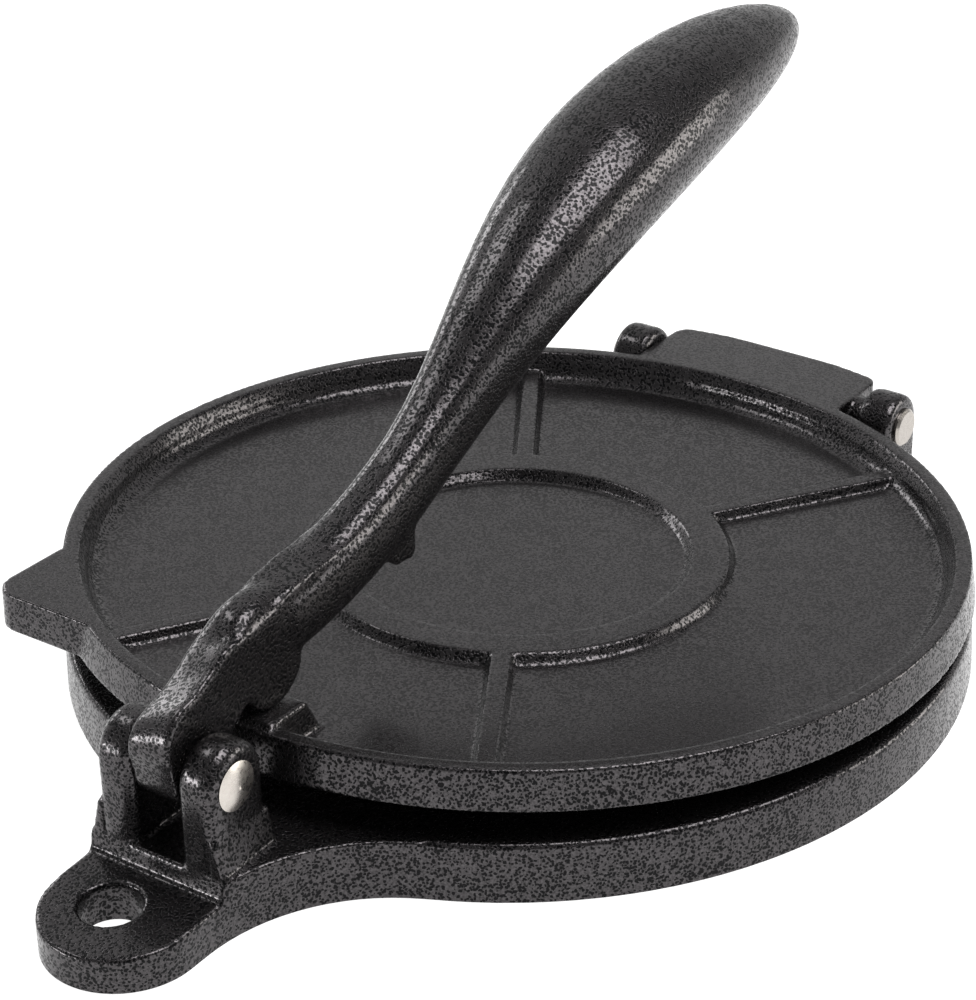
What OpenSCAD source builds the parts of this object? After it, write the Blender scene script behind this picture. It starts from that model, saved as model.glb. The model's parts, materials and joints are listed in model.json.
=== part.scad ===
// Tortilla press: a round hollow base, an upper plate hinged at the back and
// a lever at the front whose cam pushes the upper plate down.
// Millimetres, +Z up, the lever pivot and tongue toward -Y.
// Origin: centre of the base disc, on the surface the press stands on.

/* [Discs] */
// Radius of the base disc and of the upper plate's pressing face
disc_r = 105; // [95:1:120]

/* [Base] */
// Height of the base disc
base_h = 13.8; // [12:0.2:18]
// Thickness of the disc above the hollow underside
base_web_t = 5.2; // [4:0.2:7]
// Width of the rim round the hollow underside
base_rim_w = 8; // [6:0.5:12]
// Thickness of the stiffening ribs under the disc
rib_t = 5; // [4:0.5:8]
// Middle radius of the ring rib under the disc
rib_ring_r = 56; // [45:1:65]
// Diameter of the boss under the centre
centre_boss_d = 26; // [18:1:36]

/* [Tongue] */
// Length of the tongue beyond the base disc's edge
tongue_len = 52.3; // [48:0.1:60]
// Width of the tongue
tongue_w = 34.6; // [31.5:0.1:40]
// Height of the tongue beside the lever ears
tongue_h = 9.4; // [7:0.2:11]
// Drop of the tongue's top face at its tip
tongue_fall = 1.6; // [0:0.2:3]
// Radius of the hollow flare between tongue and disc
flare_r = 43; // [30:1:55]
// Diameter of the hole for hanging the press up
hang_hole_d = 13.4; // [8:0.1:15]
// Distance from the tongue's tip to the hanging hole's axis
hang_hole_in = 16.3; // [12:0.1:20]
// Sideways offset of the hanging hole
hang_hole_x = -2; // [-3:0.1:0]

/* [Lever ears] */
// Distance from the base disc's edge to the lever pivot
pivot_out = 15.3; // [14:0.1:20]
// Height of the lever pivot
pivot_h = 31.7; // [30:0.1:34]
// Width of the slot between the lever ears
slot_w = 11.8; // [11.4:0.1:14]
// Thickness of each lever ear
lever_ear_t = 9.4; // [7:0.2:9.8]
// Radius of the round top of each lever ear
lever_ear_r = 8.8; // [7.5:0.1:9.2]
// Distance from the pivot back to the middle of each ear's round top
lever_ear_shift = 0.6; // [0:0.1:1]
// Radius of the soft edges of each lever ear
ear_soft = 3; // [1:0.5:3.5]
// Height of the sloped foot outside each lever ear
ear_foot_h = 8; // [2:0.5:9]
// Lean of the step below the front of the lever ears
step_lean = 0.9; // [0.4:0.1:2]

/* [Hinge] */
// Distance from the base disc's edge to the hinge axis
hinge_out = 3.9; // [3.7:0.1:8]
// Distance between the inner faces of the hinge ears
hinge_gap_w = 62.6; // [62:0.2:70]
// Sideways offset of the hinge ears
hinge_shift = 1.2; // [0:0.1:1.6]
// Thickness of each hinge ear
hinge_ear_t = 9.6; // [6:0.1:12]
// Radius of the round top of each hinge ear
hinge_ear_r = 8; // [7:0.1:8.2]
// Radius of the soft edges of each hinge ear
hinge_ear_soft = 2; // [0.5:0.5:2.5]
// Height of the hinge axis above the closed upper plate's underside
hinge_rise = 4.35; // [4.1:0.05:5.5]
// Radius of the hinge barrel behind the base disc
barrel_r = 5.6; // [5:0.1:5.7]

/* [Upper plate] */
// Height of the upper plate's rim
plate_t = 9.3; // [8:0.1:12]
// Slant of the plate's outer wall, from bottom to top
plate_draft = 1.4; // [0.5:0.1:2.5]
// Width of the rim's flat top
rim_w = 3.5; // [2.5:0.1:6]
// Thickness of the plate inside the rim
floor_t = 2.4; // [2:0.1:4]
// Radius of the hollow foot inside the rim
rim_foot_r = 4; // [2:0.5:5]
// Inner radius of the raised ring's top
ring_in_r = 40.6; // [35:0.2:45]
// Outer radius of the raised ring's top
ring_out_r = 48.8; // [46:0.2:54]
// Height of the ring and spokes above the plate's floor
ring_h = 2.4; // [1.5:0.1:3]
// Width of each spoke at its top
spoke_w = 4.1; // [3:0.1:7]
// Angle of each front spoke from the plate's front axis
front_spoke_angle = 30.5; // [25:0.5:40]
// Angle of each rear spoke from the plate's rear axis
rear_spoke_angle = 32.1; // [25:0.5:40]
// Distance of the tab's side edge inside the plate's left edge
tab_side_in = 25.2; // [19:0.2:29]
// Distance of the tab's front edge inside the plate's front edge
tab_front_in = 15.2; // [13:0.2:21]
// Radius of the tab's corner
tab_corner_r = 6; // [4:0.5:9]
// Width of the hinge lug at the back of the plate
lug_w = 58.5; // [52:0.1:59]
// Sideways offset of the hinge lug
lug_shift = -0.5; // [-0.5:0.1:1.5]
// Radius of the lug's two rear corners, seen from above
lug_corner_r = 4; // [2:0.5:8]
// Length of the lug behind the hinge axis, at its middle
lug_tail = 15; // [12:0.5:17]
// Radius of the barrel that fills the room between the hinge ears
lug_barrel_r = 4.8; // [4.2:0.1:5.2]
// Gap between the barrel and each hinge ear
lug_side_gap = 0.5; // [0.3:0.1:1]

/* [Cam pad] */
// Width of the pad that the cam pushes on
pad_w = 18.4; // [14:0.2:22]
// Length of the pad's level top
pad_len = 12.4; // [11:0.1:17]

/* [Lever] */
// Reach of the lever from its pivot to the grip's end
lever_reach = 241.4; // [190:0.1:255]
// Rise of the lever from its pivot to the grip's end
lever_rise = 81.8; // [70:0.1:90]
// Clearance of the lever's hub from each ear
lever_side_gap = 0.4; // [0.2:0.05:0.8]
// Radius of the rounded head above the hub
head_r = 9; // [7.5:0.1:9.2]
// Length of the rounded hump in front of the arm
hump_len = 22; // [18:0.5:24]
// Length of the stop nub under the arm
nub_len = 15; // [12:0.5:18]
// Depth of the stop nub
nub_h = 5.6; // [3:0.1:5.8]
// Radius of the lever's hub round the pivot
hub_r = 7.3; // [6.5:0.1:7.8]
// Radius of the cam's round lobe
cam_r = 8.8; // [8:0.1:9.4]
// Distance from the pivot to the middle of the cam lobe
cam_throw = 27.67; // [26.5:0.05:28]
// Angle of the cam lobe above level, seen from the pivot
cam_angle = 21.8; // [20:0.1:23]
// Half width of the grip at its widest
grip_half_w = 17.4; // [13:0.1:20]
// Half height of the grip at its thickest
grip_half_h = 15.3; // [12:0.1:18]
// Half width of the narrow arm
arm_half_w = 6.5; // [5.6:0.1:8]
// Half height of the narrow arm
arm_half_h = 8.7; // [7.5:0.1:10]
// Length of the grip's rounded end
grip_end = 75.5; // [45:0.5:80]

/* [Pins] */
// Diameter of the lever pin's shank
lever_pin_d = 7; // [5:0.1:8]
// Diameter of the lever pin's domed head
lever_head_d = 10.8; // [9.5:0.1:12.5]
// Height of the lever pin's domed head
lever_head_h = 1.1; // [0.8:0.1:2.6]
// Diameter of the hinge pin's shank
hinge_pin_d = 6.5; // [5:0.1:7]
// Diameter of the hinge pin's flattened ends
hinge_head_d = 9.6; // [8.5:0.1:12]
// Height of the hinge pin's flattened ends
hinge_head_h = 1.2; // [0.9:0.1:3]

/* [Fits and rest pose] */
// Radial clearance of each pin in its holes
pin_fit = 0.05; // [0.02:0.01:0.1]
// Gap between a pin's head and the face beside it
head_gap = 0.1; // [0.05:0.05:0.2]
// Gap between the closed upper plate and the base
closed_gap = 0.15; // [0.1:0.05:0.3]
// Gap between the cam and its pad
cam_gap = 0.12; // [0.08:0.01:0.3]
// Angle by which the upper plate stands open at rest
rest_tilt = 2.355; // [2:0.005:2.6]

/* [Hidden] */
$fn = 96;

iron = [0.29, 0.29, 0.30];
iron_lever = [0.24, 0.24, 0.25];
steel = [0.75, 0.74, 0.70];

// Where the two axes and the main faces lie
pivot_y = -(disc_r + pivot_out);
plate_z = base_h + closed_gap;
hinge_y = disc_r + hinge_out;
hinge_z = plate_z + hinge_rise;
lever_ear_y = pivot_y + lever_ear_shift;
step_y = lever_ear_y - lever_ear_r - step_lean;
ear_out = slot_w / 2 + lever_ear_t;
hinge_end = hinge_gap_w / 2 + hinge_ear_t;
hinge_out_x = [hinge_shift - hinge_end, hinge_shift + hinge_end];
tongue_tip_y = -(disc_r + tongue_len);
tongue_end_y = tongue_tip_y + tongue_w / 2;
hang_hole_y = tongue_tip_y + hang_hole_in;
tab_side = disc_r - tab_side_in;
tab_front = disc_r - tab_front_in;

// Middle of the flare's hollow arc, touching the tongue's side and the disc
flare_x = tongue_w / 2 + flare_r;
flare_y = -sqrt(pow(disc_r + flare_r, 2) - pow(flare_x, 2));

// Middle of the cam lobe, and the pad's height above the hinge axis that just
// clears the lobe when the plate stands at its rest tilt
cam_y = pivot_y + cam_throw * cos(cam_angle);
cam_z = pivot_h + cam_throw * sin(cam_angle);
pad_top = (cam_y - hinge_y) * sin(rest_tilt) + (cam_z - hinge_z) * cos(rest_tilt)
        - cam_r - cam_gap;
pad_front = -(disc_r - plate_draft - 1.6);
pad_back = pad_front + pad_len;
rim_in_r = disc_r - plate_draft - rim_w;

// Curve along the middle of the arm and grip, from the cam to the grip's end
// Its two inner handles are shares of the lever's reach and rise
arm_curve = [
  [cam_y + 7.8, cam_z + 7],
  [pivot_y + 0.483 * lever_reach, pivot_h + 0.301 * lever_rise],
  [pivot_y + 0.4285 * lever_reach, pivot_h + 1.01 * lever_rise],
  [pivot_y + lever_reach, pivot_h + lever_rise]
];
arm_steps = 60;
// Where along the curve the narrow arm starts and stops swelling
arm_swell = [0.21, 0.65];
// Direction in which the arm starts, and how far the hump bends up from it
arm_start = (arm_curve[1] - arm_curve[0]) / norm(arm_curve[1] - arm_curve[0]);
hump_lift = 3.4;

lever_w = slot_w - 2 * lever_side_gap;
// Middle of the head from the pivot
head_out = [0.3, 7.4];
// Ridge from the head to the arm, as shares of the cam's distance from the pivot
ridge = [[0.217, 0.683], [0.405, 0.802], [0.723, 0.817], [0.965, 0.86], [1.19, 0.947]];
// The stop nub's front face and its underside
nub_y = cam_y + 49.6;
nub_z = cam_z + 2.9;

function arc(c, r, a, b, n) =
  [for (i = [0:n]) c + r * [cos(a + (b - a) * i / n), sin(a + (b - a) * i / n)]];

function on_curve(p, t) =
  pow(1 - t, 3) * p[0] + 3 * pow(1 - t, 2) * t * p[1]
  + 3 * (1 - t) * t * t * p[2] + pow(t, 3) * p[3];

// Lengths along the curve against its parameter, and the way back
arm_lengths =
  [for (i = 0, s = 0; i <= arm_steps;
        s = s + norm(on_curve(arm_curve, (i + 1) / arm_steps) - on_curve(arm_curve, i / arm_steps)),
        i = i + 1) [s, i / arm_steps]];
arm_length = arm_lengths[arm_steps][0];

// Before the arm's start, at negative s, the hump runs on and closes
function arm_point(s) =
  s >= 0 ? on_curve(arm_curve, lookup(s, arm_lengths))
  : arm_curve[0] + s * arm_start + [0, hump_lift * sin(90 * min(1, -1.3 * s / hump_len))];
function arm_along(s) =
  let (d = s < 0 ? arm_start : arm_point(min(s + 1, arm_length)) - arm_point(max(s - 1, 0)))
  d / norm(d);

// The arm swells smoothly into the grip, and the grip closes in a blunt end
function swell(s) =
  let (u = (s / arm_length - arm_swell[0]) / (arm_swell[1] - arm_swell[0]))
  u <= 0 ? 0 : u >= 1 ? 1 : (1 - cos(180 * u)) / 2;
function blunt(u, p) = u <= 0 ? 1 : u >= 1 ? 0 : pow(1 - pow(u, p), 1 / p);
function close_in(s) = blunt((s - (arm_length - grip_end)) / grip_end, 1.88) * blunt(-s / hump_len, 1.7);
function half_w(s) =
  s < 0 ? lever_w / 2 - 0.15 : close_in(s) * (arm_half_w + (grip_half_w - arm_half_w) * swell(s));
function half_h(s) = close_in(s) * (arm_half_h + (grip_half_h - arm_half_h) * swell(s));
function squareness(s) = 2.9 - 0.8 * swell(s);

function bent(v, p) = sign(v) * pow(abs(v), 2 / p);
function arm_ring(s, n) =
  let (c = arm_point(s), d = arm_along(s), w = half_w(s), h = half_h(s), p = squareness(s))
  [for (k = [0:n - 1])
    let (u = bent(cos(360 * k / n), p) * w, v = bent(sin(360 * k / n), p) * h)
    [u, c[0] - d[1] * v, c[1] + d[0] * v]];

// Stations are even along the arm and draw closer toward the blunt end
arm_sides = 28;
body_stations = [for (i = [0:17]) (arm_length - grip_end) * i / 17];
end_stations = [for (i = [1:10]) arm_length - grip_end + grip_end * sin(90 * i / 10.6)];
hump_stations = [for (i = [8:-1:1]) -hump_len * sin(90 * i / 8.3)];
stations = concat(hump_stations, body_stations, end_stations);

// Extrude a Y-Z outline along X from x0 to x1
module across(x0, x1) {
  translate([x0, 0, 0])
  rotate([90, 0, 90])
  linear_extrude(height = x1 - x0)
  children();
}

// Extrude an X-Z outline along Y from y0 to y1
module fore_aft(y0, y1) {
  translate([0, y1, 0])
  rotate([90, 0, 0])
  linear_extrude(height = y1 - y0)
  children();
}

module rod(x0, x1, r) {
  translate([x0, 0, 0])
  rotate([0, 90, 0])
  cylinder(r = r, h = x1 - x0);
}

module at_pivot() {
  translate([0, pivot_y, pivot_h])
  children();
}

module at_hinge() {
  translate([0, hinge_y, hinge_z])
  children();
}

// Base

module base_disc() {
  rotate_extrude()
  polygon(concat(
    [[0, 0], [disc_r, 0]],
    arc([disc_r - 1.7, base_h - 1.2], 1.2, 0, 90, 4),
    [[0, base_h]]
  ));
}

module flare_outline() {
  difference() {
    polygon([[-flare_x, flare_y], [flare_x, flare_y], [0, -base_rim_w]]);
    for (side = [-1, 1])
      translate([side * flare_x, flare_y])
      circle(r = flare_r);
  }
}

module flares() {
  intersection() {
    linear_extrude(height = base_h)
    flare_outline();
    across(-disc_r, disc_r)
    polygon([[step_y, 1], [step_y, tongue_h], [step_y + step_lean, base_h], [0, base_h], [0, 1]]);
  }
}

module tongue_outline() {
  translate([0, tongue_end_y])
  circle(d = tongue_w);
  translate([-tongue_w / 2, tongue_end_y])
  square([tongue_w, -tongue_end_y - disc_r + 10]);
}

module tongue() {
  difference() {
    linear_extrude(height = tongue_h) {
      tongue_outline();
      flare_outline();
    }
    translate([0, step_y, tongue_h])
    rotate([atan(tongue_fall / (step_y - tongue_tip_y)), 0, 0])
    translate([-tongue_w, -2 * tongue_w, 0])
    cube([2 * tongue_w, 2 * tongue_w, tongue_h]);
  }
}

// An ear with a round top and soft edges, its inner face at x = 0
module round_ear(y, z, r, t, foot_z, soft) {
  translate([0, y, z])
  rotate([0, 90, 0])
  rotate_extrude()
  polygon(concat(
    [[0, 0]],
    arc([r - soft, soft], soft, -90, 0, 5),
    arc([r - soft, t - soft], soft, 0, 90, 5),
    [[0, t]]
  ));
  translate([0, y, foot_z])
  linear_extrude(height = z - foot_z)
  polygon(concat(
    arc([soft, soft - r], soft, 180, 270, 5),
    arc([t - soft, soft - r], soft, 270, 360, 5),
    arc([t - soft, r - soft], soft, 0, 90, 5),
    arc([soft, r - soft], soft, 90, 180, 5)
  ));
}

// One lever ear with the sloped foot on its outer face, on the +X side
module lever_ear() {
  translate([slot_w / 2, 0, 0])
  round_ear(lever_ear_y, pivot_h, lever_ear_r, lever_ear_t, base_h - 2, ear_soft);
  fore_aft(lever_ear_y - lever_ear_r, lever_ear_y + lever_ear_r)
  polygon([
    [ear_out - 1, base_h - 1], [tongue_w / 2, base_h - 1], [tongue_w / 2, base_h],
    [ear_out, base_h + ear_foot_h], [ear_out - 1, base_h + ear_foot_h]
  ]);
}

// One hinge ear, on the +X side, with the low block that joins it to the disc
module hinge_ear() {
  translate([hinge_gap_w / 2, 0, 0])
  round_ear(hinge_y, hinge_z, hinge_ear_r, hinge_ear_t, 0, hinge_ear_soft);
  translate([hinge_gap_w / 2, hinge_y - hinge_ear_r - 12, 0])
  cube([hinge_ear_t, 12 + hinge_ear_r, base_h - 0.5]);
}

module underside_hollow() {
  translate([0, 0, -1])
  difference() {
    cylinder(r = disc_r - base_rim_w, h = base_h - base_web_t + 1);
    difference() {
      cylinder(r = rib_ring_r + rib_t / 2, h = base_h);
      cylinder(r = rib_ring_r - rib_t / 2, h = base_h);
    }
    for (a = [45, 135])
      rotate([0, 0, a])
      translate([-disc_r, -rib_t / 2, 0])
      cube([2 * disc_r, rib_t, base_h]);
    cylinder(d = centre_boss_d, h = base_h);
  }
}

module base() {
  color(iron)
  difference() {
    union() {
      base_disc();
      flares();
      tongue();
      for (side = [0, 1]) {
        mirror([side, 0, 0])
        lever_ear();
        translate([hinge_shift, 0, 0])
        mirror([side, 0, 0])
        hinge_ear();
      }
    }
    underside_hollow();
    translate([hang_hole_x, hang_hole_y, -1])
    cylinder(d = hang_hole_d, h = tongue_h + 2);
    at_pivot()
    rod(-ear_out - 1, ear_out + 1, lever_pin_d / 2 + pin_fit);
    at_hinge()
    rod(hinge_out_x[0] - 1, hinge_out_x[1] + 1, hinge_pin_d / 2 + pin_fit);
  }
}

// Upper plate, drawn closed with its underside at z = 0

module plate_dish() {
  rotate_extrude()
  polygon(concat(
    [[0, 0], [disc_r, 0], [disc_r - plate_draft, plate_t], [rim_in_r, plate_t]],
    arc([rim_in_r - 1.6 - rim_foot_r, floor_t + rim_foot_r], rim_foot_r, 0, -90, 5),
    [[0, floor_t]]
  ));
}

module raised_ring() {
  top = floor_t + ring_h;
  rotate_extrude()
  polygon([
    [ring_in_r - 1.8, floor_t - 1], [ring_in_r - 1.8, floor_t], [ring_in_r, top],
    [ring_out_r, top], [ring_out_r + 1.6, floor_t], [ring_out_r + 1.6, floor_t - 1]
  ]);
}

// One spoke from the ring to the rim, along +X, with slanted sides that run on
// into the floor
module spoke() {
  top = floor_t + ring_h;
  foot = spoke_w / 2 + (ring_h + 1) / ring_h;
  translate([ring_out_r - 1, 0, 0])
  rotate([90, 0, 90])
  linear_extrude(height = rim_in_r - ring_out_r + 2)
  polygon([[-foot, floor_t - 1], [foot, floor_t - 1], [spoke_w / 2, top], [-spoke_w / 2, top]]);
}

module tab() {
  linear_extrude(height = plate_t)
  difference() {
    union() {
      translate([-tab_side, -tab_front + tab_corner_r])
      square([tab_side, tab_front - tab_corner_r]);
      translate([-tab_side + tab_corner_r, -tab_front])
      square([tab_side - tab_corner_r, tab_front]);
      translate([-tab_side + tab_corner_r, -tab_front + tab_corner_r])
      circle(r = tab_corner_r);
    }
    circle(r = rim_in_r + 0.5);
  }
}

module cam_pad() {
  top = hinge_rise + pad_top;
  across(-pad_w / 2, pad_w / 2)
  polygon(concat(
    [[pad_front, 1]],
    arc([pad_front + 1.2, top - 1.2], 1.2, 180, 90, 3),
    arc([pad_back - 1, top - 1], 1, 90, 25, 3),
    [[pad_back + 0.45 * (top - floor_t), floor_t + 1], [pad_back + 0.5 * (top - floor_t) + 1, floor_t - 1]]
  ));
}

// The lug from above: its tail follows the disc, with two round corners
module lug_outline() {
  tail = hinge_y + lug_tail;
  side = lug_w / 2 - lug_corner_r;
  corner_y = sqrt(pow(tail - lug_corner_r, 2) - pow(side, 2));
  translate([lug_shift, 0]) {
    translate([-lug_w / 2, 0])
    square([lug_w, corner_y]);
    for (way = [-1, 1])
      translate([way * side, corner_y])
      circle(r = lug_corner_r);
    intersection() {
      circle(r = tail);
      polygon([[0, 0], [-1.2 * side, 1.2 * corner_y], [1.2 * side, 1.2 * corner_y]]);
    }
  }
}

module hinge_lug() {
  corner = 1.5;
  tail = hinge_y + lug_tail;
  difference() {
    intersection() {
      across(lug_shift - lug_w, lug_shift + lug_w) {
        polygon(concat(
          [[rim_in_r - 1, plate_t], [rim_in_r - 1, 0], [hinge_y, 0], [hinge_y, hinge_rise - 0.6],
           [tail, hinge_rise - 0.6]],
          arc([tail - corner, plate_t - corner], corner, 0, 90, 4)
        ));
        intersection() {
          translate([hinge_y, hinge_rise])
          circle(r = barrel_r);
          translate([hinge_y - 2 * barrel_r, hinge_rise - 2 * barrel_r])
          square([4 * barrel_r, 2 * barrel_r + plate_t - hinge_rise]);
        }
      }
      translate([0, 0, -plate_t])
      linear_extrude(height = 3 * plate_t)
      lug_outline();
    }
    translate([0, 0, floor_t])
    cylinder(r = rim_in_r, h = plate_t);
  }
  translate([hinge_shift, hinge_y, hinge_rise])
  rod(lug_side_gap - hinge_gap_w / 2, hinge_gap_w / 2 - lug_side_gap, lug_barrel_r);
}

module closed_plate() {
  difference() {
    union() {
      plate_dish();
      raised_ring();
      for (a = [-90 - front_spoke_angle, -90 + front_spoke_angle,
                90 - rear_spoke_angle, 90 + rear_spoke_angle])
        rotate([0, 0, a])
        spoke();
      tab();
      cam_pad();
      hinge_lug();
    }
    translate([0, hinge_y, hinge_rise])
    rod(-disc_r, disc_r, hinge_pin_d / 2 + pin_fit);
  }
}

module upper_plate() {
  color(iron)
  at_hinge()
  rotate([-rest_tilt, 0, 0])
  translate([0, -hinge_y, -hinge_rise])
  closed_plate();
}

// Lever

// The lever's lower end in outline: hub, head and cam lobe with its heel
module lever_side() {
  pivot = [pivot_y, pivot_h];
  head = pivot + head_out;
  cam = [cam_y, cam_z];
  back = [nub_y - nub_len, arm_curve[0][1] - 2];
  translate(pivot)
  circle(r = hub_r);
  translate(head)
  circle(r = head_r);
  translate(cam)
  circle(r = cam_r);
  translate(cam + cam_r * [0.35, -0.1])
  circle(r = 0.7 * cam_r);
  polygon(concat(
    [pivot - [hub_r, 0], head - [head_r, 0], head + [0, head_r]],
    [for (p = ridge) pivot + cam_throw * p],
    [back + arm_half_h * [-0.47, 1.41], back + arm_half_h * [0, 0.36],
     back + arm_half_h * [-2.82, -0.47], cam + cam_r * [0.86, -0.17], cam,
     cam + cam_r * [-1.41, -0.625], pivot + hub_r * [0.75, -0.62], pivot - [0, hub_r]]
  ));
}

// Stop nub under the arm
module lever_nub() {
  top = nub_z + nub_h;
  across(-lever_w / 2, lever_w / 2)
  polygon([
    [nub_y - nub_len, top + nub_h / 3], [nub_y - 0.83 * nub_len, top],
    [nub_y - 0.47 * nub_len, nub_z + 0.1 * nub_h], [nub_y - 0.11 * nub_len, nub_z],
    [nub_y, nub_z + 0.27 * nub_h], [nub_y, top + nub_h]
  ]);
}

module arm_and_grip() {
  n = arm_sides;
  m = len(stations);
  tip = arm_point(arm_length);
  rings = [for (s = stations) each arm_ring(s, n)];
  first = arm_point(-hump_len);
  polyhedron(
    points = concat(rings, [[0, first[0], first[1]], [0, tip[0], tip[1]]]),
    faces = concat(
      [for (j = [0:m - 2], k = [0:n - 1])
        each [[j * n + k, j * n + (k + 1) % n, (j + 1) * n + (k + 1) % n],
              [j * n + k, (j + 1) * n + (k + 1) % n, (j + 1) * n + k]]],
      [for (k = [0:n - 1]) [m * n, (k + 1) % n, k]],
      [for (k = [0:n - 1]) [m * n + 1, (m - 1) * n + k, (m - 1) * n + (k + 1) % n]]
    )
  );
}

module lever() {
  color(iron_lever)
  difference() {
    union() {
      across(-lever_w / 2, lever_w / 2)
      lever_side();
      lever_nub();
      arm_and_grip();
    }
    at_pivot()
    rod(-lever_w, lever_w, lever_pin_d / 2 + pin_fit);
  }
}

// Pins

module domed_head(d, h) {
  r = (d * d / 4 + h * h) / (2 * h);
  rotate([0, 90, 0])
  intersection() {
    translate([0, 0, h - r])
    sphere(r = r);
    cylinder(d = d + 1, h = h + 1);
  }
}

module lever_pin() {
  color(steel)
  at_pivot() {
    rod(-ear_out - head_gap - 0.5, ear_out + head_gap + 0.5, lever_pin_d / 2);
    for (side = [0, 1])
      mirror([side, 0, 0])
      translate([ear_out + head_gap, 0, 0])
      domed_head(lever_head_d - side, lever_head_h);
  }
}

module hinge_pin() {
  color(steel)
  at_hinge() {
    rod(hinge_out_x[0] - head_gap - 0.5, hinge_out_x[1] + head_gap + 0.5, hinge_pin_d / 2);
    for (side = [0, 1])
      translate([hinge_shift, 0, 0])
      mirror([side, 0, 0])
      translate([hinge_end + head_gap, 0, 0])
      rotate([0, 90, 0]) {
        cylinder(d = hinge_head_d, h = hinge_head_h - 0.6);
        translate([0, 0, hinge_head_h - 0.6])
        cylinder(d1 = hinge_head_d, d2 = hinge_head_d - 1.2, h = 0.6);
      }
  }
}

base();
upper_plate();
lever();
lever_pin();
hinge_pin();
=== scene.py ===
"""Tortilla press: the looks of three painted iron castings and two bright pins."""

import json
from math import cos, pi, radians, sin

import bmesh
import bpy
from mathutils import Matrix, Vector


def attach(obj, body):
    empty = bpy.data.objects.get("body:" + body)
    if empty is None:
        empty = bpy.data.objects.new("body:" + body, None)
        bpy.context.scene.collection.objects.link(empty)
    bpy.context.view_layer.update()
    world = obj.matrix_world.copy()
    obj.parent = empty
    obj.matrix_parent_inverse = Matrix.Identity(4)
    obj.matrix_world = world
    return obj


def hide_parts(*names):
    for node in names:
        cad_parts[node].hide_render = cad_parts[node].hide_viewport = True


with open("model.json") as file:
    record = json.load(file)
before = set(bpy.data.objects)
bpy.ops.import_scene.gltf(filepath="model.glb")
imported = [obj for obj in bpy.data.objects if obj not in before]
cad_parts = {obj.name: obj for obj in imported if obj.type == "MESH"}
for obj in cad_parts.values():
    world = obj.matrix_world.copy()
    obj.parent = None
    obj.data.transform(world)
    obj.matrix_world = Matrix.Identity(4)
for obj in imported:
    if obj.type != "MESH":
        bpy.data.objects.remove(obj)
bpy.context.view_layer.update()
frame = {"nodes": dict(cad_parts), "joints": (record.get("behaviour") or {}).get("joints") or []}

# Metres and degrees, in the CAD frame: +Z up, the lever pivot and tongue toward -Y
MM = 0.001
UNIT = (0.0, 1.0)
WHITE = (1.0, 1.0, 1.0, 1.0)

# Camera, fitted to the photograph
PHOTO_LONG_SIDE = 1000
FOCAL_PX = 2996.3
SENSOR_MM = 36.0
CAMERA_AZIMUTH = 35.588
CAMERA_ELEVATION = 28.932
CAMERA_ROLL = -1.484
CAMERA_DISTANCE = 0.71704
CAMERA_TARGET = Vector((-0.021828, 0.019677, 0.020))
CAMERA_NEAR = 0.05

# Floor: half its side, its depth under the press, and its matt, glowing white
FLOOR_HALF = 3.0
FLOOR_DROP = 0.2 * MM
FLOOR_LOOK = {"Base Color": (0.4, 0.4, 0.4, 1.0), "Roughness": 1.0, "Specular IOR Level": 0.0,
              "Emission Color": WHITE, "Emission Strength": 0.9}

# Studio wall: the way to its white side, where along that way it turns from dark
# to white, and the strength of both
BACKDROP_WAY = (-0.72, 0.62, -0.3)
WALL_TURN = (-0.1, 0.45)
WALL_DARK = 0.2
WALL_WHITE = 0.68

# Softboxes: bearing, height and distance as seen from the point that they aim at,
# their two sides, radiance and colour
AIM = Vector((0.0, 0.0, 0.07))
PLAIN_LIGHT = (1.0, 1.0, 1.0)
SOFTBOXES = {
    "overhead": (95, 67, 0.9, (0.62, 0.75), 6.0, (1.0, 0.98, 0.99)),
    "right_low": (128, 6, 0.8, (0.5, 0.4), 5.0, (1.0, 0.98, 0.93)),
    "front_left": (-80, 52, 0.9, (0.25, 0.25), 4.0, PLAIN_LIGHT),
    "front_low": (-36, 2, 1.0, (0.6, 0.16), 13.0, PLAIN_LIGHT),
    "left_low": (-100, 19, 1.0, (0.5, 0.25), 4.5, PLAIN_LIGHT),
}

# Hammered paint: the grey of its skin, the black painted into its pits as shade, and its gloss
SKIN_GREY = (0.062, 0.058, 0.060, 1.0)
PAINTED_PIT_SHADE = (0.002, 0.002, 0.0025, 1.0)
SKIN_ROUGHNESS = 0.2
PIT_ROUGHNESS = 0.48
PAINT_GLOSS = {"Metallic": 0.9, "Coat Weight": 0.14, "Coat Roughness": 0.1}
# Distance from pit to pit, which is one cell of the paint
BASE_CELL = 0.74 * MM
PLATE_CELL = 0.72 * MM
LEVER_CELL = 0.78 * MM
# In cells: a pit's radius, the blur of its edge, how far pits are stirred out of
# their rows, and how much their radius varies from place to place
PIT_RADIUS = 0.46
PIT_BLUR = 0.07
STIR_REACH = 0.9
RADIUS_SPREAD = 0.3
# Noise waves per cell: of the stirring, of the radius and of the skin's grain
STIR_WAVES = 0.8
RADIUS_WAVES = 0.12
GRAIN_WAVES = 1.6
# The grain's noise from low to high, the shades that it gives, its height next to
# a pit's, and the strength and depth of both in the surface
GRAIN_SPAN = (0.3, 0.7)
GRAIN_SHADES = (0.55, 1.4)
GRAIN_HEIGHT = 0.5
PAINT_BUMP = 1.0
PIT_DEPTH = 0.04 * MM
# Upward part of the normal where pits begin to fade and where they end fading,
# and how far they fade on the plate's level faces
LEVEL_SPAN = (0.9, 0.99)
PLATE_CALM = 0.45
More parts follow.
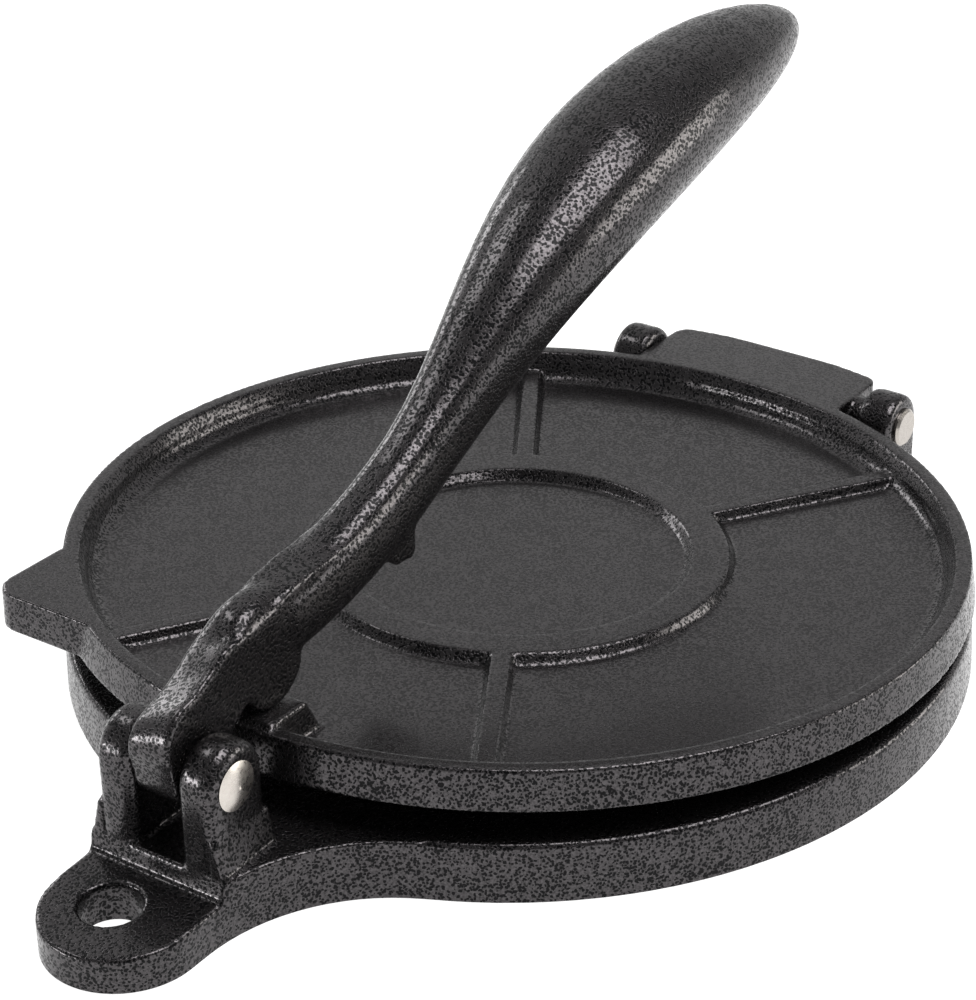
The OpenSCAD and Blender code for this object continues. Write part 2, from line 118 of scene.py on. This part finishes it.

# Bright steel: its darker and lighter tint, its least roughness and the grain's share of it,
# the grain's noise and its height, and the painted shade that darkens each pin's steel
STEEL_TINTS = ((0.50, 0.46, 0.42), (0.72, 0.68, 0.63))
STEEL_ROUGHNESS = 0.18
STEEL_ROUGHENING = 0.2
STEEL_WAVES = 900.0
STEEL_DETAIL = 3.0
STEEL_BUMP = 0.3
STEEL_DEPTH = 0.05 * MM
PIN_PAINTED_SHADES = {"lever_pin": 0.95, "hinge_pin": 0.7}

BODY_GRAIN = 0.55 * MM
LEVER_GRAIN = 0.6 * MM
ROUND_STEP = 0.5
SOFT_ROUNDS = 30
BODY_KEEP = 0.22
LEVER_KEEP = 0.4
# How deep a foot is sunk while its piece is rounded
SUNK_FOOT = 3 * MM
# Distances within which points are one, lie on the table, and lie on the cut
SAME_POINT = 1e-6
ON_TABLE = 1e-5
ON_CUT = 1e-7

# Hinge of the upper plate, and how many degrees it is open at rest
JOINTS = {joint["name"]: joint for joint in frame["joints"]}
HINGE = Vector(JOINTS["plate_open"]["pos_m"])
REST_TILT = 2.355

# The lever's head, from the lever pin: spans over which its softening, and the
# slope of its top, grow from none to full
PIN_Y, PIN_Z = JOINTS["lever_press"]["pos_m"][1:]
SOFT_UP = (PIN_Z + 4.3 * MM, PIN_Z + 10.3 * MM)
SOFT_FORWARD = (PIN_Y + 42.3 * MM, PIN_Y + 34.3 * MM)
SOFT_LEFT = (2 * MM, -2 * MM)
SLOPE_UP = (PIN_Z + 1.3 * MM, PIN_Z + 15.3 * MM)
SLOPE_FORWARD = (PIN_Y + 19.3 * MM, PIN_Y + 10.3 * MM)
SLOPE_LEFT = (4.5 * MM, -5.5 * MM)
# Softening of the head's right side next to its left, and how much lower the
# left side of its top is
SOFT_RIGHT_SHARE = 0.4
HEAD_FALL = 3.2 * MM


# Shader nodes

class Nodes:
    """Adds nodes to one material or world and joins them to its shader."""

    def __init__(self, owner, shader="Principled BSDF"):
        self.owner = owner
        owner.use_nodes = True
        self.tree = owner.node_tree
        self.shader = self.tree.nodes[shader]

    def add(self, kind, inputs=None, **settings):
        """A new node, whose inputs are sockets to join or plain values."""
        node = self.tree.nodes.new(kind)
        for name, setting in settings.items():
            setattr(node, name, setting)
        for key, value in (inputs or {}).items():
            if isinstance(value, bpy.types.NodeSocket):
                self.tree.links.new(value, node.inputs[key])
            else:
                node.inputs[key].default_value = value
        return node

    def noise(self, place, waves, detail=1.0):
        return self.add("ShaderNodeTexNoise", {"Vector": place, "Scale": waves, "Detail": detail})

    def spread(self, value, span, result, shape="LINEAR"):
        """Turns a value's span, held at both its ends, into the result's span."""
        ends = {"Value": value, "From Min": span[0], "From Max": span[1],
                "To Min": result[0], "To Max": result[1]}
        return self.add("ShaderNodeMapRange", ends, interpolation_type=shape).outputs[0]

    def calculate(self, operation, *values):
        return self.add("ShaderNodeMath", dict(enumerate(values)), operation=operation).outputs[0]

    def mix(self, share, first, second):
        colours = {"Factor": share, "A": first, "B": second}
        return self.add("ShaderNodeMix", colours, data_type="RGBA").outputs["Result"]

    def join(self, socket, name):
        self.tree.links.new(socket, self.shader.inputs[name])

    def emboss(self, height, strength, depth):
        relief = {"Height": height, "Strength": strength, "Distance": depth}
        self.join(self.add("ShaderNodeBump", relief).outputs[0], "Normal")

    def set(self, look):
        for name, value in look.items():
            self.shader.inputs[name].default_value = value


# Camera, floor and light

def way_to(bearing, height):
    """The way from the press to a bearing, where 0 is -Y and 90 is +X, and a height."""
    around, lift = radians(bearing), radians(height)
    return Vector((sin(around) * cos(lift), -cos(around) * cos(lift), sin(lift)))


def add_camera():
    azimuth, roll = radians(CAMERA_AZIMUTH), radians(CAMERA_ROLL)
    back = way_to(CAMERA_AZIMUTH, CAMERA_ELEVATION)
    right = Vector((cos(azimuth), sin(azimuth), 0.0))
    up = back.cross(right)
    turned_right = cos(roll) * right + sin(roll) * up
    turned_up = cos(roll) * up - sin(roll) * right
    data = bpy.data.cameras.new("camera")
    data.sensor_width = SENSOR_MM
    data.lens = FOCAL_PX * SENSOR_MM / PHOTO_LONG_SIDE
    data.clip_start = CAMERA_NEAR
    camera = bpy.data.objects.new("camera", data)
    turn = Matrix((turned_right, turned_up, back)).transposed().to_4x4()
    camera.matrix_world = Matrix.Translation(CAMERA_TARGET + back * CAMERA_DISTANCE) @ turn
    bpy.context.scene.collection.objects.link(camera)
    bpy.context.scene.camera = camera


def add_floor():
    mesh = bpy.data.meshes.new("floor")
    sides = ((-1, -1), (1, -1), (1, 1), (-1, 1))
    corners = [(x * FLOOR_HALF, y * FLOOR_HALF, 0.0) for x, y in sides]
    mesh.from_pydata(corners, [], [(0, 1, 2, 3)])
    floor = bpy.data.objects.new("floor", mesh)
    floor.location.z = -FLOOR_DROP
    bpy.context.scene.collection.objects.link(floor)
    nodes = Nodes(bpy.data.materials.new("floor_white"))
    nodes.set(FLOOR_LOOK)
    mesh.materials.append(nodes.owner)


def add_wall():
    """White behind the press and darker toward the camera.

    The wall itself looks white in every view; its shade is only seen in the gloss.
    """
    nodes = Nodes(bpy.data.worlds.new("studio"), "Background")
    way = nodes.add("ShaderNodeTexCoord").outputs["Generated"]
    toward_back = nodes.add("ShaderNodeVectorMath", {0: way, 1: BACKDROP_WAY},
                            operation="DOT_PRODUCT").outputs["Value"]
    shade = nodes.spread(toward_back, WALL_TURN, (WALL_DARK, WALL_WHITE), "SMOOTHSTEP")
    seen = nodes.add("ShaderNodeLightPath").outputs["Is Camera Ray"]
    nodes.join(nodes.calculate("MAXIMUM", shade, seen), "Strength")
    nodes.set({"Color": WHITE})
    bpy.context.scene.world = nodes.owner


def add_softbox(name, bearing, height, distance, size, radiance, colour):
    """A soft rectangular light that aims at the press."""
    place = AIM + distance * way_to(bearing, height)
    data = bpy.data.lights.new(name, "AREA")
    data.shape = "RECTANGLE"
    data.size, data.size_y = size
    data.energy = radiance * pi * size[0] * size[1]
    data.color = colour
    light = bpy.data.objects.new(name, data)
    light.location = place
    light.rotation_euler = (AIM - place).to_track_quat("-Z", "Y").to_euler()
    bpy.context.scene.collection.objects.link(light)


def light_studio():
    add_wall()
    for name, values in SOFTBOXES.items():
        add_softbox(name, *values)
    view = bpy.context.scene.view_settings
    view.view_transform = "Standard"
    view.look = "None"


# Materials

def hammered(name, cell, calm=0.0):
    """Hammered paint: a dark metallic grey skin broken by small pits, dented in the bump and painted
    black as shade.

    calm is how far the pits fade on faces that lie level.
    """
    nodes = Nodes(bpy.data.materials.new(name))
    coords = nodes.add("ShaderNodeTexCoord")
    place = coords.outputs["Object"]
    stir = nodes.noise(place, STIR_WAVES / cell).outputs["Color"]
    reach = (STIR_REACH * cell,) * 3
    bent = nodes.add("ShaderNodeVectorMath", {0: stir, 1: reach, 2: place},
                     operation="MULTIPLY_ADD")
    dots = nodes.add("ShaderNodeTexVoronoi", {"Vector": bent.outputs[0], "Scale": 1 / cell})
    unevenness = nodes.noise(place, RADIUS_WAVES / cell).outputs["Fac"]
    away = nodes.calculate("MULTIPLY_ADD", unevenness, RADIUS_SPREAD, dots.outputs["Distance"])
    # The unevenness is a half on average; skin is 0 in a pit and 1 outside it
    pit_edge = PIT_RADIUS + RADIUS_SPREAD / 2
    skin = nodes.spread(away, (pit_edge - PIT_BLUR, pit_edge + PIT_BLUR), UNIT, "SMOOTHSTEP")
    if calm:
        normal = nodes.add("ShaderNodeSeparateXYZ", {"Vector": coords.outputs["Normal"]})
        faded = nodes.spread(normal.outputs["Z"], LEVEL_SPAN, (0.0, calm))
        skin = nodes.calculate("MAXIMUM", skin, faded)
    grain = nodes.noise(place, GRAIN_WAVES / cell).outputs["Fac"]
    shade = nodes.spread(grain, GRAIN_SPAN, GRAIN_SHADES)
    # The pits are real dents, given by the bump; their black is painted shade
    grey = nodes.mix(skin, PAINTED_PIT_SHADE, SKIN_GREY)
    colour = nodes.add("ShaderNodeVectorMath", {0: grey, "Scale": shade}, operation="SCALE")
    nodes.join(colour.outputs[0], "Base Color")
    nodes.join(nodes.spread(skin, UNIT, (PIT_ROUGHNESS, SKIN_ROUGHNESS)), "Roughness")
    height = nodes.calculate("MULTIPLY_ADD", grain, GRAIN_HEIGHT, skin)
    nodes.emboss(height, PAINT_BUMP, PIT_DEPTH)
    nodes.set(PAINT_GLOSS)
    return nodes.owner


def bright_steel(name, shade):
    """Bright steel with a fine grain in its tint, roughness and surface; shade darkens its tint as
    painted shade.
    """
    nodes = Nodes(bpy.data.materials.new(name))
    place = nodes.add("ShaderNodeTexCoord").outputs["Object"]
    grain = nodes.noise(place, STEEL_WAVES, STEEL_DETAIL).outputs["Fac"]
    # Both tints are darkened by shade: a painted shade on the same bright steel
    dark, light = [(*(shade * part for part in tint), 1.0) for tint in STEEL_TINTS]
    nodes.join(nodes.mix(grain, dark, light), "Base Color")
    nodes.join(nodes.calculate("MULTIPLY_ADD", grain, STEEL_ROUGHENING, STEEL_ROUGHNESS), "Roughness")
    nodes.emboss(grain, STEEL_BUMP, STEEL_DEPTH)
    nodes.set({"Metallic": 1.0})
    return nodes.owner


# Castings

def applied(piece):
    """Bakes the piece's modifiers into its mesh."""
    shown = piece.evaluated_get(bpy.context.evaluated_depsgraph_get())
    mesh = bpy.data.meshes.new_from_object(shown)
    piece.modifiers.clear()
    piece.data = mesh


def sink_foot(work):
    """Lengthens the piece below the table, to be cut off after its edges are rounded."""
    for vertex in work.verts:
        if vertex.co.z < ON_TABLE:
            vertex.co.z = -SUNK_FOOT


def cut_foot(mesh):
    """Cuts the piece off level at the table, which leaves its foot a crisp edge."""
    work = bmesh.new()
    work.from_mesh(mesh)
    everything = work.verts[:] + work.edges[:] + work.faces[:]
    bmesh.ops.bisect_plane(work, geom=everything, dist=ON_CUT, plane_co=(0, 0, 0),
                           plane_no=(0, 0, 1), clear_inner=True)
    rim = [edge for edge in work.edges if edge.is_boundary]
    bmesh.ops.triangle_fill(work, use_beauty=True, use_dissolve=False, edges=rim,
                            normal=(0, 0, -1))
    for edge in rim:
        edge.smooth = False
    work.to_mesh(mesh)
    work.free()


def solid_mesh(node, turn, foot):
    """A copy of the node's mesh, turned, with its doubled points joined."""
    mesh = frame["nodes"][node].data.copy()
    mesh.materials.clear()
    mesh.transform(turn)
    work = bmesh.new()
    work.from_mesh(mesh)
    bmesh.ops.remove_doubles(work, verts=work.verts, dist=SAME_POINT)
    if foot:
        sink_foot(work)
    work.to_mesh(mesh)
    work.free()
    return mesh


def round_edges(piece, grain, rounds):
    """Meshes the piece evenly and smooths that mesh, which rounds its edges."""
    remesh = piece.modifiers.new("even", "REMESH")
    remesh.mode = "VOXEL"
    remesh.voxel_size = grain * 1.0
    smooth = piece.modifiers.new("rounded", "SMOOTH")
    smooth.factor = ROUND_STEP
    smooth.iterations = rounds
    applied(piece)


def soften(piece, soft):
    """Adds rounding where soft, from 0 to 1, asks for it."""
    group = piece.vertex_groups.new(name="soft")
    for vertex in piece.data.vertices:
        weight = soft(vertex.co)
        if weight > 0:
            group.add([vertex.index], weight, "REPLACE")
    more = piece.modifiers.new("softer", "SMOOTH")
    more.factor = ROUND_STEP
    more.iterations = SOFT_ROUNDS
    more.vertex_group = group.name


def casting(name, node, body, material, grain, rounds, keep,
            turn=Matrix(), soft=None, bend=None, foot=False):
    """A cast piece: the node's solid with every edge and inner corner rounded.

    grain is the size of the mesh in which the edges are rounded, rounds is how
    often they are smoothed, keep is the share of the triangles that stays, turn
    lays the piece level for that work, soft says where the edges are rounded
    further, bend moves single points, and foot keeps the edge at the table crisp.
    """
    piece = bpy.data.objects.new(name, solid_mesh(node, turn, foot))
    bpy.context.scene.collection.objects.link(piece)
    round_edges(piece, grain, rounds)
    if bend:
        for vertex in piece.data.vertices:
            vertex.co = bend(vertex.co)
    if soft:
        soften(piece, soft)
    lean = piece.modifiers.new("lean", "DECIMATE")
    lean.ratio = keep
    applied(piece)
    piece.vertex_groups.clear()
    piece.data.transform(turn.inverted())
    if foot:
        cut_foot(piece.data)
    piece.data.materials.append(material)
    piece.data.shade_smooth()
    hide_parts(node)
    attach(piece, body)


def ramp(value, start, stop):
    """Grows from 0 at start to 1 at stop, and stays 0 or 1 beyond them."""
    return min(1.0, max(0.0, (value - start) / (stop - start)))


def soft_head(point):
    """The lever's head and hump: their top, most on the left."""
    top = ramp(point.z, *SOFT_UP) * ramp(point.y, *SOFT_FORWARD)
    return top * (SOFT_RIGHT_SHARE + (1 - SOFT_RIGHT_SHARE) * ramp(point.x, *SOFT_LEFT))


def sloped_head(point):
    """The top of the lever's head falls toward its left side."""
    share = (ramp(point.x, *SLOPE_LEFT) * ramp(point.y, *SLOPE_FORWARD)
             * ramp(point.z, *SLOPE_UP))
    return Vector((point.x, point.y, point.z - HEAD_FALL * share))


def cast_base():
    paint = hammered("hammered_base", BASE_CELL)
    casting("base_casting", "base", "base", paint,
            grain=BODY_GRAIN, rounds=5, keep=BODY_KEEP, foot=True)


def cast_plate():
    paint = hammered("hammered_plate", PLATE_CELL, calm=PLATE_CALM)
    level = (Matrix.Translation(HINGE) @ Matrix.Rotation(radians(REST_TILT), 4, "X")
             @ Matrix.Translation(-HINGE))
    casting("plate_casting", "upper_plate", "upper_plate", paint,
            grain=BODY_GRAIN, rounds=3, keep=BODY_KEEP, turn=level)


def cast_lever():
    paint = hammered("hammered_lever", LEVER_CELL)
    casting("lever_casting", "lever", "lever", paint,
            grain=LEVER_GRAIN, rounds=9, keep=LEVER_KEEP, soft=soft_head, bend=sloped_head)


def dress_pins():
    # Each pin gets its own copy of the steel, darkened by its painted shade
    for node, shade in PIN_PAINTED_SHADES.items():
        mesh = frame["nodes"][node].data
        mesh.materials.clear()
        mesh.materials.append(bright_steel("bright_" + node, shade))


add_camera()
add_floor()
light_studio()
cast_base()
cast_plate()
cast_lever()
dress_pins()
